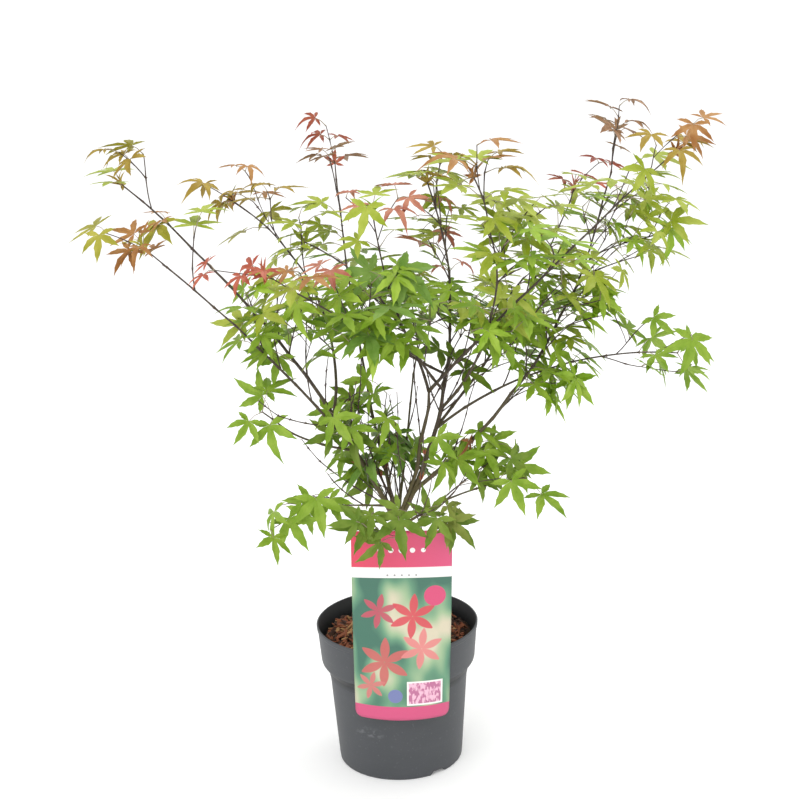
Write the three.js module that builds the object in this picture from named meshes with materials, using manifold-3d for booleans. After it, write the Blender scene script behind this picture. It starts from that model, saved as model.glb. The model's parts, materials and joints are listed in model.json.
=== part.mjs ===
// A young Japanese maple in a plastic nursery pot, with a plant label hooked over the rim.
// Millimetres, +Z up. The origin is the middle of the pot's flat underside, +X is the
// viewer's right and +Y points away from the viewer.
import * as THREE from 'three';
import { mergeVertices } from 'three/addons/utils/BufferGeometryUtils.js';
import Module from 'manifold-3d';

const wasm = await Module();
wasm.setup();

// Driving dimensions.
const GAP = 0.3; // clearance between neighbouring solids
const POT = {
  rimRadius: 95,
  height: 171,
  collarFootRadius: 90.5,
  collarHeight: 46,
  wallTopRadius: 82.4,
  shoulder: 9, // the height of the slope under the collar
  stackingStep: 17, // how far below the collar the wall steps in a little
  baseRadius: 73,
  wall: 2.3,
  sides: 32,
};
const NOTCH = { width: 17, height: 5, depth: 8, bearings: [-54, 126] }; // drainage, in the foot's edge
const SOIL = { edge: 150, top: 165, flatRadius: 13 };
const LABEL = {
  width: 112,
  bottom: 89,
  top: 319,
  thickness: 0.8,
  front: 97, // how far the face stands in front of the pot's axis
  bendRadius: 104, // at the bottom edge, curled round the pot
  hookWidth: 24,
  hookFoot: 153,
  shift: 4.5, // to the right of the pot's axis, at the rim
  lean: 1.4, // degrees to the right
};
const LIMB = { sides: 6, steps: 6, taper: 0.65 }; // a taper under 1 thins fastest near the foot
const PAD = { around: 10, rings: 5 };

const POT_PLASTIC = new THREE.MeshStandardMaterial({ color: 0x4d4f52, roughness: 0.55, metalness: 0 });
const BARK_CHIPS = new THREE.MeshStandardMaterial({ color: 0x6b3a26, roughness: 0.95, metalness: 0 });
const CARD = new THREE.MeshStandardMaterial({ color: 0xe0567f, roughness: 0.45, metalness: 0 });
const BARK = new THREE.MeshStandardMaterial({ color: 0x59483a, roughness: 0.85, metalness: 0 });
const GREEN_LEAVES = new THREE.MeshStandardMaterial({ color: 0x6f9a35, roughness: 0.6, metalness: 0 });
const YOUNG_LEAVES = new THREE.MeshStandardMaterial({ color: 0xb0763a, roughness: 0.6, metalness: 0 });

const radians = THREE.MathUtils.degToRad;
const UP = new THREE.Vector3(0, 0, 1);

// A closed geometry as a solid that can be joined and cut, and back again.
function toSolid(geometry) {
  geometry.deleteAttribute('normal');
  geometry.deleteAttribute('uv');
  const merged = mergeVertices(geometry, 1e-4);
  return new wasm.Manifold(
    new wasm.Mesh({
      numProp: 3,
      vertProperties: new Float32Array(merged.getAttribute('position').array),
      triVerts: new Uint32Array(merged.getIndex().array),
    }),
  );
}

function toGeometry(solid) {
  const mesh = solid.getMesh();
  const geometry = new THREE.BufferGeometry();
  geometry.setAttribute('position', new THREE.BufferAttribute(mesh.vertProperties, 3));
  geometry.setIndex(new THREE.BufferAttribute(mesh.triVerts, 1));
  geometry.computeVertexNormals();
  return geometry;
}

// The largest piece of a solid, for one that a cut has left with crumbs.
function largest(solid) {
  return solid.decompose().sort((a, b) => b.volume() - a.volume())[0];
}

const maple = new THREE.Group();

function add(name, solid, material) {
  const mesh = new THREE.Mesh(toGeometry(solid), material);
  mesh.name = name;
  maple.add(mesh);
}

function revolved(profile) {
  const points = profile.map(([radius, height]) => new THREE.Vector2(radius, height));
  return toSolid(new THREE.LatheGeometry(points, POT.sides).rotateX(Math.PI / 2));
}

// The pot: a flat floor, a tapering wall with a small stacking step, and a wider collar.
const collarFoot = POT.height - POT.collarHeight;
const stepHeight = collarFoot - POT.stackingStep;
const innerFloor = [POT.baseRadius - POT.wall, POT.wall + 0.4];
const innerStep = [POT.wallTopRadius - POT.wall - 1, stepHeight];
const innerShoulder = [POT.wallTopRadius - POT.wall, collarFoot - POT.shoulder + 1];
const innerCollar = [POT.collarFootRadius - POT.wall, collarFoot + 2];
const innerRim = [POT.rimRadius - POT.wall, POT.height];
let pot = revolved([
  [0, 0],
  [POT.baseRadius - 1.5, 0],
  [POT.baseRadius, 1.5],
  [POT.wallTopRadius - 1, stepHeight],
  [POT.wallTopRadius, stepHeight + 1],
  [POT.wallTopRadius, collarFoot - POT.shoulder],
  [POT.collarFootRadius, collarFoot],
  [POT.rimRadius, POT.height],
  innerRim,
  innerCollar,
  innerShoulder,
  innerStep,
  innerFloor,
  [0, innerFloor[1]],
]);
for (const bearing of NOTCH.bearings) {
  const slot = new THREE.BoxGeometry(NOTCH.depth, NOTCH.width, 2 * NOTCH.height);
  slot.translate(POT.baseRadius, 0, 0).rotateZ(radians(bearing));
  pot = pot.subtract(toSolid(slot));
}
add('pot', pot, POT_PLASTIC);

// The compost and bark chips, which fill the pot to a low mound with a flat seat for the trunk.
const clear = 0.6; // between the compost and the pot's faceted wall
add(
  'soil',
  revolved([
    [0, innerFloor[1] + GAP],
    [innerFloor[0] - clear, innerFloor[1] + GAP],
    [innerStep[0] - clear, innerStep[1]],
    [innerShoulder[0] - clear, innerShoulder[1] + GAP],
    [innerCollar[0] - clear, innerCollar[1] + GAP],
    [POT.rimRadius - POT.wall - 2.6, SOIL.edge],
    [POT.baseRadius, SOIL.edge + 5],
    [POT.baseRadius / 2, SOIL.top - 3],
    [SOIL.flatRadius, SOIL.top],
    [0, SOIL.top],
  ]),
  BARK_CHIPS,
);

// The label: a stiff card, flat at its top and curled round the pot at its foot, and a tongue
// that goes over the lip and down inside the pot.
const labelHeight = LABEL.top - LABEL.bottom;
const card = new THREE.BoxGeometry(LABEL.width, LABEL.thickness, labelHeight, 8, 1, 8);
card.translate(0, LABEL.thickness / 2, LABEL.bottom + labelHeight / 2);
const corner = new THREE.Vector3();
for (let i = 0; i < card.getAttribute('position').count; i++) {
  corner.fromBufferAttribute(card.getAttribute('position'), i);
  const rise = (corner.z - LABEL.bottom) / labelHeight;
  const radius = LABEL.bendRadius / (1.001 - rise);
  const roundedFoot = rise < 0.01 ? 0.93 : 1;
  const angle = (corner.x * roundedFoot) / radius;
  corner.x = (radius - corner.y) * Math.sin(angle);
  corner.y = -LABEL.front + radius - (radius - corner.y) * Math.cos(angle);
  card.getAttribute('position').setXYZ(i, corner.x, corner.y, corner.z);
}
const tongueFoot = { y: -88.4, z: LABEL.hookFoot };
const tongueTop = { y: -90.2, z: POT.height + 3 * GAP };
const tongue = new THREE.ExtrudeGeometry(
  new THREE.Shape([
    new THREE.Vector2(-LABEL.front + 0.2, tongueTop.z),
    new THREE.Vector2(tongueTop.y, tongueTop.z),
    new THREE.Vector2(tongueFoot.y, tongueFoot.z),
    new THREE.Vector2(tongueFoot.y + LABEL.thickness, tongueFoot.z),
    new THREE.Vector2(tongueTop.y + LABEL.thickness, tongueTop.z + LABEL.thickness),
    new THREE.Vector2(-LABEL.front + 0.2, tongueTop.z + LABEL.thickness),
  ]),
  { depth: LABEL.hookWidth, bevelEnabled: false },
);
// The outline is drawn across the pot and up it, and pushed out along X.
tongue.rotateX(Math.PI / 2).rotateZ(Math.PI / 2).translate(-LABEL.hookWidth / 2, 0, 0);
for (const piece of [card, tongue]) {
  piece.translate(0, 0, -POT.height).rotateY(radians(LABEL.lean)).translate(LABEL.shift, 0, POT.height);
}
const label = toSolid(card).add(toSolid(tongue));
add('label', label, CARD);

// Trunk, stems and boughs. Each limb grows from a point `at` along another, from 0 at its foot to
// 1 at its tip. Its own tip is given by bearing (degrees, 0 = right, 90 = away), reach from the
// pot's axis and height, and its middle is bowed by `rise` upwards and `sway` sideways.
const LIMBS = [
  {
    name: 'trunk',
    bearing: 0, reach: 5, height: 291, rise: 1, sway: 0, radii: [7.4, 6.2],
  },
  {
    name: 'left_leader', from: 'trunk', at: 1,
    bearing: -171, reach: 281, height: 703, rise: 25, sway: 5, radii: [3.4, 1],
  },
  {
    name: 'main_stem', from: 'trunk', at: 1,
    bearing: 60, reach: 106, height: 672, rise: 0, sway: 46, radii: [3.9, 1],
  },
  {
    name: 'centre_leader', from: 'trunk', at: 1,
    bearing: 0, reach: 45, height: 451, rise: -5, sway: 0, radii: [3.1, 2.1],
  },
  {
    name: 'back_leader', from: 'trunk', at: 0.97,
    bearing: 110, reach: 164, height: 690, rise: 12, sway: -13, radii: [2.6, 0.9],
  },
  {
    name: 'low_right_bough', from: 'trunk', at: 0.95,
    bearing: -10, reach: 152, height: 352, rise: 11, sway: 2, radii: [1.9, 0.9],
  },
  {
    name: 'front_low_bough', from: 'trunk', at: 0.9,
    bearing: -76, reach: 122, height: 345, rise: 13, sway: 0, radii: [1.7, 0.9],
  },
  {
    name: 'back_low_bough', from: 'trunk', at: 0.9,
    bearing: 76, reach: 170, height: 500, rise: 16, sway: 2, radii: [2.1, 0.9],
  },
  {
    name: 'left_outer_bough', from: 'left_leader', at: 0.2,
    bearing: -158, reach: 272, height: 645, rise: 7, sway: 3, radii: [2, 0.9],
  },
  {
    name: 'left_back_bough', from: 'left_leader', at: 0.3,
    bearing: 147, reach: 205, height: 655, rise: 17, sway: 38, radii: [1.9, 0.9],
  },
  {
    name: 'low_left_bough', from: 'left_leader', at: 0.2,
    bearing: -162, reach: 149, height: 445, rise: -10, sway: 8, radii: [1.7, 0.9],
  },
  {
    name: 'lowest_left_bough', from: 'left_leader', at: 0.05,
    bearing: -137, reach: 103, height: 341, rise: 1, sway: -1, radii: [1.7, 0.9],
  },
  {
    name: 'inner_left_bough', from: 'centre_leader', at: 1,
    bearing: 137, reach: 124, height: 610, rise: 29, sway: -1, radii: [1.8, 0.9],
  },
  {
    name: 'right_top_bough', from: 'centre_leader', at: 1,
    bearing: -20, reach: 320, height: 728, rise: 3, sway: 4, radii: [2.1, 0.9],
  },
  {
    name: 'right_outer_bough', from: 'main_stem', at: 0.1,
    bearing: 20, reach: 288, height: 725, rise: -35, sway: 39, radii: [2.7, 0.9],
  },
  {
    name: 'far_right_bough', from: 'main_stem', at: 0.3,
    bearing: 3, reach: 329, height: 482, rise: 25, sway: -7, radii: [1.9, 0.9],
  },
  {
    name: 'right_back_bough', from: 'main_stem', at: 0.3,
    bearing: 35, reach: 278, height: 650, rise: -5, sway: 15, radii: [2, 0.9],
  },
  {
    name: 'front_right_bough', from: 'main_stem', at: 0.35,
    bearing: -55, reach: 164, height: 712, rise: -17, sway: -37, radii: [1.9, 0.9],
  },
  {
    name: 'front_leader', from: 'main_stem', at: 0.4,
    bearing: -100, reach: 71, height: 668, rise: -27, sway: -8, radii: [1.9, 0.9],
  },
  {
    name: 'left_front_bough', from: 'main_stem', at: 0.45,
    bearing: -134, reach: 179, height: 618, rise: -3, sway: -6, radii: [1.8, 0.9],
  },
];
const ROOT_FLARE = { radius: 3.5, length: 0.12 }; // at the trunk's foot; the length is a share of the trunk

// The curve of each limb: from its foot to its tip, through its bowed middle.
const curves = {};
for (const limb of LIMBS) {
  const foot = limb.from
    ? curves[limb.from].getPoint(limb.at)
    : new THREE.Vector3(0, 0, SOIL.top + GAP);
  const tip = new THREE.Vector3(limb.reach, 0, limb.height).applyAxisAngle(UP, radians(limb.bearing));
  const chord = tip.clone().sub(foot).normalize();
  const across = chord.clone().cross(UP).normalize();
  const upward = across.clone().cross(chord);
  const bow = upward.multiplyScalar(limb.rise).addScaledVector(across, limb.sway);
  const middle = foot.clone().add(tip).divideScalar(2).addScaledVector(bow, 2);
  curves[limb.name] = new THREE.QuadraticBezierCurve3(foot, middle, tip);
}

// A limb is a tapering cylinder bent along its curve. `grow` makes it larger all round.
function limbSolid(limb, grow = 0) {
  const curve = curves[limb.name];
  const [footRadius, tipRadius] = limb.radii;
  const geometry = new THREE.CylinderGeometry(1, 1, 1, LIMB.sides, LIMB.steps);
  const position = geometry.getAttribute('position');
  const chord = curve.v2.clone().sub(curve.v0);
  const runsAlongX = Math.abs(chord.x) > Math.abs(chord.y);
  const sideways = runsAlongX ? new THREE.Vector3(0, 1, 0) : new THREE.Vector3(1, 0, 0);
  for (let i = 0; i < position.count; i++) {
    const along = position.getY(i) + 0.5;
    const tangent = curve.getTangent(along);
    const first = sideways.clone().cross(tangent).normalize();
    const second = tangent.clone().cross(first);
    const flare = limb.from ? 0 : ROOT_FLARE.radius * Math.exp(-along / ROOT_FLARE.length);
    const thinned = limb.from ? along ** LIMB.taper : along;
    const radius = THREE.MathUtils.lerp(footRadius, tipRadius, thinned) + flare + grow;
    const end = along < 0.01 ? -grow : along > 0.99 ? grow : 0;
    const point = curve
      .getPoint(along)
      .addScaledVector(first, position.getZ(i) * radius)
      .addScaledVector(second, position.getX(i) * radius)
      .addScaledVector(tangent, end);
    position.setXYZ(i, point.x, point.y, point.z);
  }
  return toSolid(geometry);
}

const taken = []; // every limb and pad so far, grown by the gap, for the next ones to stay clear of
function clearOf(solid) {
  let rest = solid;
  for (const other of taken) rest = rest.subtract(other);
  return largest(rest);
}

for (const limb of LIMBS) {
  add(limb.name, clearOf(limbSolid(limb)), BARK);
  taken.push(limbSolid(limb, GAP));
}
taken.push(label.hull());

// Foliage. Each pad lies round a point `at` along a limb, shifted outwards, sideways and up from
// it. Its size is its length outwards, its width and its thickness, and it droops outwards by an
// angle in degrees.
const PADS = [
  {
    name: 'far_left_leaves', on: 'left_leader', at: 1,
    shift: [10, 0, 14], size: [90, 66, 42], droop: 15, young: true,
  },
  {
    name: 'upper_left_leaves', on: 'left_leader', at: 0.87,
    shift: [5, 25, -5], size: [66, 62, 46], droop: 20,
  },
  {
    name: 'left_outer_leaves', on: 'left_outer_bough', at: 1,
    shift: [24, 0, 8], size: [70, 64, 38], droop: 20, young: true,
  },
  {
    name: 'left_back_leaves', on: 'left_back_bough', at: 1,
    shift: [-5, 0, 8], size: [115, 80, 50], droop: 15, young: true,
  },
  {
    name: 'left_front_leaves', on: 'left_front_bough', at: 1,
    shift: [34, -20, -12], size: [110, 64, 52], droop: 20,
  },
  {
    name: 'front_left_leaves', on: 'left_front_bough', at: 0.84,
    shift: [-5, 5, 12], size: [78, 62, 42], droop: 10,
  },
  {
    name: 'back_top_leaves', on: 'back_leader', at: 1,
    shift: [8, 8, 20], size: [72, 64, 46], droop: 10, young: true,
  },
  {
    name: 'inner_left_leaves', on: 'inner_left_bough', at: 1,
    shift: [8, -24, 8], size: [98, 92, 42], droop: 10,
  },
  {
    name: 'front_top_leaves', on: 'front_leader', at: 1,
    shift: [0, 0, 18], size: [82, 72, 40], droop: 10,
  },
  {
    name: 'centre_top_leaves', on: 'main_stem', at: 1,
    shift: [0, 5, 18], size: [80, 74, 46], droop: 10,
  },
  {
    name: 'front_right_leaves', on: 'front_right_bough', at: 1,
    shift: [0, 0, 18], size: [66, 62, 38], droop: 10, young: true,
  },
  {
    name: 'centre_back_leaves', on: 'main_stem', at: 0.9,
    shift: [26, 22, -16], size: [84, 82, 42], droop: 10,
  },
  {
    name: 'right_front_leaves', on: 'front_right_bough', at: 0.78,
    shift: [20, 30, 10], size: [100, 112, 74], droop: 15,
  },
  {
    name: 'right_back_leaves', on: 'right_back_bough', at: 1,
    shift: [14, -6, 12], size: [68, 62, 42], droop: 10, young: true,
  },
  {
    name: 'right_crest_leaves', on: 'right_outer_bough', at: 1,
    shift: [0, 0, 18], size: [54, 52, 44], droop: 10, young: true,
  },
  {
    name: 'upper_right_leaves', on: 'right_top_bough', at: 0.93,
    shift: [-16, 6, 8], size: [62, 60, 46], droop: 15,
  },
  {
    name: 'far_top_right_leaves', on: 'right_top_bough', at: 1,
    shift: [20, 0, 6], size: [72, 58, 50], droop: 20, young: true,
  },
  {
    name: 'right_middle_leaves', on: 'right_outer_bough', at: 0.84,
    shift: [30, -14, -24], size: [118, 104, 78], droop: 20,
  },
  {
    name: 'far_right_leaves', on: 'far_right_bough', at: 0.97,
    shift: [2, 0, 0], size: [132, 84, 66], droop: 10,
  },
  {
    name: 'middle_left_leaves', on: 'left_leader', at: 0.57,
    shift: [-26, -4, 20], size: [112, 92, 62], droop: 10,
  },
  {
    name: 'middle_front_leaves', on: 'front_leader', at: 0.62,
    shift: [2, -14, -14], size: [96, 118, 84], droop: 10,
  },
  {
    name: 'middle_back_leaves', on: 'back_leader', at: 0.64,
    shift: [5, -38, 4], size: [92, 104, 52], droop: 10,
  },
  {
    name: 'middle_right_leaves', on: 'right_top_bough', at: 0.28,
    shift: [-16, 22, 8], size: [116, 100, 80], droop: 10,
  },
  {
    name: 'outer_right_leaves', on: 'right_outer_bough', at: 0.6,
    shift: [-2, -4, 8], size: [124, 100, 68], droop: 15,
  },
  {
    name: 'lower_left_leaves', on: 'left_leader', at: 0.48,
    shift: [-10, 10, 6], size: [82, 62, 40], droop: 20,
  },
  {
    name: 'hanging_right_leaves', on: 'far_right_bough', at: 0.48,
    shift: [4, 18, 0], size: [98, 72, 100], droop: 0,
  },
  {
    name: 'low_centre_leaves', on: 'left_leader', at: 0.23,
    shift: [-10, -4, 26], size: [92, 84, 66], droop: 10,
  },
  {
    name: 'low_inner_left_leaves', on: 'left_leader', at: 0.1,
    shift: [-10, -24, 18], size: [104, 110, 56], droop: 10,
  },
  {
    name: 'low_left_leaves', on: 'low_left_bough', at: 1,
    shift: [22, 0, 2], size: [104, 72, 46], droop: -5,
  },
  {
    name: 'lowest_left_leaves', on: 'lowest_left_bough', at: 1,
    shift: [38, 0, -4], size: [104, 66, 44], droop: 5,
  },
  {
    name: 'front_low_left_leaves', on: 'front_low_bough', at: 1,
    shift: [6, -46, -6], size: [36, 104, 80], droop: 0,
  },
  {
    name: 'front_low_right_leaves', on: 'front_low_bough', at: 1,
    shift: [6, 30, -14], size: [36, 78, 64], droop: 0,
  },
  {
    name: 'low_inner_right_leaves', on: 'right_outer_bough', at: 0.17,
    shift: [0, -14, -14], size: [118, 84, 56], droop: 10,
  },
  {
    name: 'low_right_leaves', on: 'low_right_bough', at: 1,
    shift: [14, -4, -6], size: [106, 76, 56], droop: 20,
  },
  {
    name: 'back_low_leaves', on: 'back_low_bough', at: 1,
    shift: [24, 0, 5], size: [96, 100, 46], droop: 20,
  },
  {
    name: 'back_left_leaves', on: 'left_back_bough', at: 0.5,
    shift: [24, 10, -14], size: [100, 84, 46], droop: 15,
  },
  {
    name: 'back_right_leaves', on: 'right_back_bough', at: 0.52,
    shift: [5, 34, -8], size: [100, 86, 46], droop: 15,
  },
];
// How uneven a pad's outline is, by the number of its lobes, and how uneven its top is.
const LOBES = { twofold: 0.12, threefold: 0.12, fivefold: 0.09, crest: 0.22 };

// A pad is a flattened sphere with an uneven outline and top, turned to face away from the axis.
function padSolid(pad, index, grow = 0) {
  const [out, side, up] = pad.shift;
  const [length, width, thickness] = pad.size;
  const anchor = curves[pad.on].getPoint(pad.at);
  const bearing = Math.atan2(anchor.y, anchor.x);
  const centre = new THREE.Vector3(out, side, up).applyAxisAngle(UP, bearing).add(anchor);
  const geometry = new THREE.SphereGeometry(1, PAD.around, PAD.rings).rotateX(Math.PI / 2);
  const position = geometry.getAttribute('position');
  const turn = index * 2.4; // the golden angle, so that no two pads are alike
  for (let i = 0; i < position.count; i++) {
    const x = position.getX(i);
    const y = position.getY(i);
    const z = position.getZ(i);
    const around = Math.hypot(x, y) > 1e-6 ? Math.atan2(y, x) : 0;
    const outline =
      1 +
      LOBES.twofold * Math.sin(2 * around + turn) +
      LOBES.threefold * Math.sin(3 * around + 2 * turn) +
      LOBES.fivefold * Math.sin(5 * around + 3 * turn);
    const crest = 1 + LOBES.crest * Math.sin(3 * around + turn) * Math.hypot(x, y);
    position.setXYZ(
      i,
      x * outline * (length / 2 + grow),
      y * outline * (width / 2 + grow),
      z * crest * (thickness / 2 + grow),
    );
  }
  geometry.rotateY(radians(pad.droop)).rotateZ(bearing).translate(centre.x, centre.y, centre.z);
  return toSolid(geometry);
}

PADS.forEach((pad, index) => {
  add(pad.name, clearOf(padSolid(pad, index)), pad.young ? YOUNG_LEAVES : GREEN_LEAVES);
  taken.push(padSolid(pad, index, 2 * GAP));
});

export default maple;
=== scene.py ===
# A young Japanese maple in a plastic nursery pot, with a printed plant label over its rim.
# Metres, +Z up. The origin is the middle of the pot's flat underside, and the viewer is at -Y.
import json
import math
import random

import bmesh
import bpy
import numpy as np
from mathutils import Matrix, Vector, geometry, noise
from mathutils.bvhtree import BVHTree


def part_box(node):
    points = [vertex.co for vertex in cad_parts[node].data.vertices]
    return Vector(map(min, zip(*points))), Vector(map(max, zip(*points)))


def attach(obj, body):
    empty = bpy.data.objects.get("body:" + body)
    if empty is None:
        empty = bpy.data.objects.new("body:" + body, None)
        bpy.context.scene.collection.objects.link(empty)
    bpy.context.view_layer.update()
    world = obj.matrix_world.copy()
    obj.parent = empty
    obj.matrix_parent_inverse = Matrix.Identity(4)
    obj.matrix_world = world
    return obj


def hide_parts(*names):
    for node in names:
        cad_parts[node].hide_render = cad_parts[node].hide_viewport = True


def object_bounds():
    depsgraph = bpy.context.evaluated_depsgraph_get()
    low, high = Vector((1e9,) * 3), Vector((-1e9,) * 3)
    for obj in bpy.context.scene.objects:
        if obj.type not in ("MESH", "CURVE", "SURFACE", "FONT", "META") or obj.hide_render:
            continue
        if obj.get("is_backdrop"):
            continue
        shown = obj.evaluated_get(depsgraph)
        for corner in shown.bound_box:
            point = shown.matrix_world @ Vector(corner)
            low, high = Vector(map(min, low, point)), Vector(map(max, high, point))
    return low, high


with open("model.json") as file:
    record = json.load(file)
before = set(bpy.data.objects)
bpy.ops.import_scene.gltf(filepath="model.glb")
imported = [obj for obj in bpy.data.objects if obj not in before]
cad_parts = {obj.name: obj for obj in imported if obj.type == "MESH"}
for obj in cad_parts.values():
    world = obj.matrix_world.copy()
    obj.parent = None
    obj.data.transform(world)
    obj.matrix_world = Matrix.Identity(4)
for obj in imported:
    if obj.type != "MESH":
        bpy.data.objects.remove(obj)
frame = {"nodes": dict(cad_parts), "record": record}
cad_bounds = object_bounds()
scene = bpy.context.scene
UP = Vector((0, 0, 1))

# --- Camera, floor and light --------------------------------------------------
# The viewer stands a little under two metres away and looks slightly down on the plant. The
# studio is a white floor without an end, under an even white sky and two large soft lamps.
VIEW_DISTANCE, VIEW_HEIGHT = 1.855, 0.978
VIEW_PITCH, VIEW_YAW, VIEW_ROLL = 16.15, -0.354, -1.77
SENSOR_WIDTH, LENS = 36, 76.5
SKY_STRENGTH = 1.02
camera = bpy.data.objects.new("camera", bpy.data.cameras.new("camera"))
camera.data.sensor_width = SENSOR_WIDTH
camera.data.lens = LENS
camera.matrix_world = (
    Matrix.Translation((0, -VIEW_DISTANCE, VIEW_HEIGHT))
    @ Matrix.Rotation(math.radians(VIEW_YAW), 4, "Z")
    @ Matrix.Rotation(math.radians(90 - VIEW_PITCH), 4, "X")
    @ Matrix.Rotation(math.radians(VIEW_ROLL), 4, "Z")
)
scene.collection.objects.link(camera)
scene.camera = camera
scene.view_settings.view_transform = "Standard"

world = bpy.data.worlds.new("studio")
world.use_nodes = True
world.node_tree.nodes["Background"].inputs["Color"].default_value = (1, 1, 1, 1)
world.node_tree.nodes["Background"].inputs["Strength"].default_value = SKY_STRENGTH
scene.world = world


def lamp(name, place, aim, size, power):
    """A large square soft lamp that faces the point it is aimed at."""
    light = bpy.data.lights.new(name, "AREA")
    light.size = size
    light.energy = power
    made = bpy.data.objects.new(name, light)
    made.location = place
    made.rotation_euler = (Vector(aim) - Vector(place)).to_track_quat("-Z", "Y").to_euler()
    scene.collection.objects.link(made)


lamp("front_lamp", (-1.0, -2.2, 2.4), (0, 0, 0.4), 1.6, 26)
lamp("top_lamp", (0.9, 0.5, 2.6), (0, 0, 0.5), 1.4, 16)


def colour(code):
    """A screen colour, such as 0x4D4F52, as the linear colour that a shader takes."""
    channels = [(code >> shift & 255) / 255 for shift in (16, 8, 0)]
    linear = [c / 12.92 if c <= 0.04045 else ((c + 0.055) / 1.055) ** 2.4 for c in channels]
    return (*linear, 1.0)


class Value:
    """A shader value in plain arithmetic. Each operator adds the Math node that it stands for."""

    def __init__(self, finish, socket):
        self.finish = finish
        self.socket = socket

    def math(self, operation, *values):
        return self.finish.node("Math", {"operation": operation}, dict(enumerate(values)))

    def __add__(self, other):
        return self.math("ADD", self, other)

    def __sub__(self, other):
        return self.math("SUBTRACT", self, other)

    def __rsub__(self, other):
        return self.math("SUBTRACT", other, self)

    def __mul__(self, other):
        return self.math("MULTIPLY", self, other)

    def __truediv__(self, other):
        return self.math("DIVIDE", self, other)

    def __pow__(self, other):
        return self.math("POWER", self, other)

    def __abs__(self):
        return self.math("ABSOLUTE", self)

    __radd__ = __add__
    __rmul__ = __mul__

    def below(self, limit, softness):
        """1 where the value is under the limit, 0 over it, and a ramp of this softness between."""
        return self.finish.node(
            "MapRange",
            {"clamp": True},
            {"Value": self, "From Min": limit - softness, "From Max": limit, "To Min": 1, "To Max": 0},
        )

    def over(self, limit, softness):
        return 1 - self.below(limit, softness)


class Finish:
    """A material with one Principled shader, whose plain sockets are set by name."""

    def __init__(self, name, **uniform):
        self.material = bpy.data.materials.new(name)
        self.material.use_nodes = True
        self.tree = self.material.node_tree
        self.shader = self.tree.nodes["Principled BSDF"]
        for socket, number in uniform.items():
            self.shader.inputs[socket.replace("_", " ")].default_value = number
        self.places = self.node("TexCoord", {}, {}, "Object")

    def feed(self, socket, value):
        if isinstance(value, Value):
            self.tree.links.new(value.socket, socket)
        else:
            socket.default_value = value

    def node(self, kind, settings, inputs, output=0):
        """Adds one node, sets its settings first and then the numbers or links of its sockets."""
        made = self.tree.nodes.new("ShaderNode" + kind)
        for name, value in settings.items():
            if name == "stops":
                for index, (place, shade) in enumerate(value):
                    fresh = index >= len(made.color_ramp.elements)
                    stop = made.color_ramp.elements.new(place) if fresh else made.color_ramp.elements[index]
                    stop.position = place
                    stop.color = shade
            else:
                setattr(made, name, value)
        for name, value in inputs.items():
            self.feed(made.inputs[name], value)
        return Value(self, made.outputs[output])

    def mix(self, amount, first, second):
        """The first colour, turning into the second as the amount goes from 0 to 1."""
        return self.node("Mix", {"data_type": "RGBA"}, {0: amount, 6: first, 7: second}, 2)

    def mottle(self, scale, detail=3.0, stretch=(1, 1, 1)):
        """Cloudy noise from 0 to 1, with this many clouds to the metre."""
        places = self.node("Mapping", {}, {"Vector": self.places, "Scale": stretch})
        return self.node("TexNoise", {}, {"Vector": places, "Scale": scale, "Detail": detail})

    def spots(self, scale, stretch=(1, 1, 1)):
        """The distance from the middle of the nearest of many scattered spots."""
        places = self.node("Mapping", {}, {"Vector": self.places, "Scale": stretch})
        return self.node("TexVoronoi", {}, {"Vector": places, "Scale": scale}, "Distance")

    def paint(self, value):
        self.feed(self.shader.inputs["Base Color"], value)

    def roughen(self, value):
        self.feed(self.shader.inputs["Roughness"], value)

    def emboss(self, height, depth):
        """Raises the surface where the height is 1, by this depth in metres."""
        bump = self.node("Bump", {}, {"Height": height, "Distance": depth, "Strength": 1.0}, "Normal")
        self.feed(self.shader.inputs["Normal"], bump)


def as_mesh(name, shape):
    """Turns a bmesh into a mesh, and frees it."""
    mesh = bpy.data.meshes.new(name)
    shape.to_mesh(mesh)
    shape.free()
    return mesh


def smooth_faces(shape):
    for face in shape.faces:
        face.smooth = True


def mottled(name, roughness, scale, detail, dark_code, light_code):
    """A plain finish that is mottled from a darker to a lighter colour."""
    finish = Finish(name, Roughness=roughness)
    finish.paint(finish.mix(finish.mottle(scale, detail), colour(dark_code), colour(light_code)))
    return finish


def piece(name, shape, finish, slot, *nodes):
    """Makes one finished piece from a bmesh. It stands for the solids named last."""
    mesh = as_mesh(name, shape)
    mesh.materials.append(finish.material)
    made = bpy.data.objects.new(name, mesh)
    scene.collection.objects.link(made)
    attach(made, "root")
    if nodes:
        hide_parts(*nodes)
    return made


floor = bmesh.new()
bmesh.ops.create_grid(floor, x_segments=1, y_segments=1, size=40)
floor_mesh = as_mesh("floor", floor)
floor_finish = Finish("studio floor", Roughness=0.9, Emission_Strength=0.12)
floor_finish.shader.inputs["Emission Color"].default_value = (1, 1, 1, 1)
floor_finish.paint(colour(0xFAFAFA))
floor_mesh.materials.append(floor_finish.material)
floor_piece = bpy.data.objects.new("floor", floor_mesh)
scene.collection.objects.link(floor_piece)
floor_piece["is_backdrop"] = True

# --- Pot ----------------------------------------------------------------------
# A nursery pot of matt slate grey plastic, with a thin lip, a wide collar that stops the stack, a
# small step under it and drain notches in its foot.
pot_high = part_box("pot")[1]
RIM_RADIUS, POT_HEIGHT = pot_high.x, pot_high.z
COLLAR_FOOT_RADIUS, COLLAR_FOOT = 0.0905, 0.125
WALL_TOP_RADIUS, WALL_TOP = 0.0824, 0.116
STEP_HEIGHT, STEP_DEPTH = 0.108, 0.0007
BASE_RADIUS, WALL = 0.073, 0.0023
POT_STEPS = 128
NOTCH_BEARINGS, NOTCH_WIDTH, NOTCH_HEIGHT = (-54, 126), 0.017, 0.005
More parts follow.
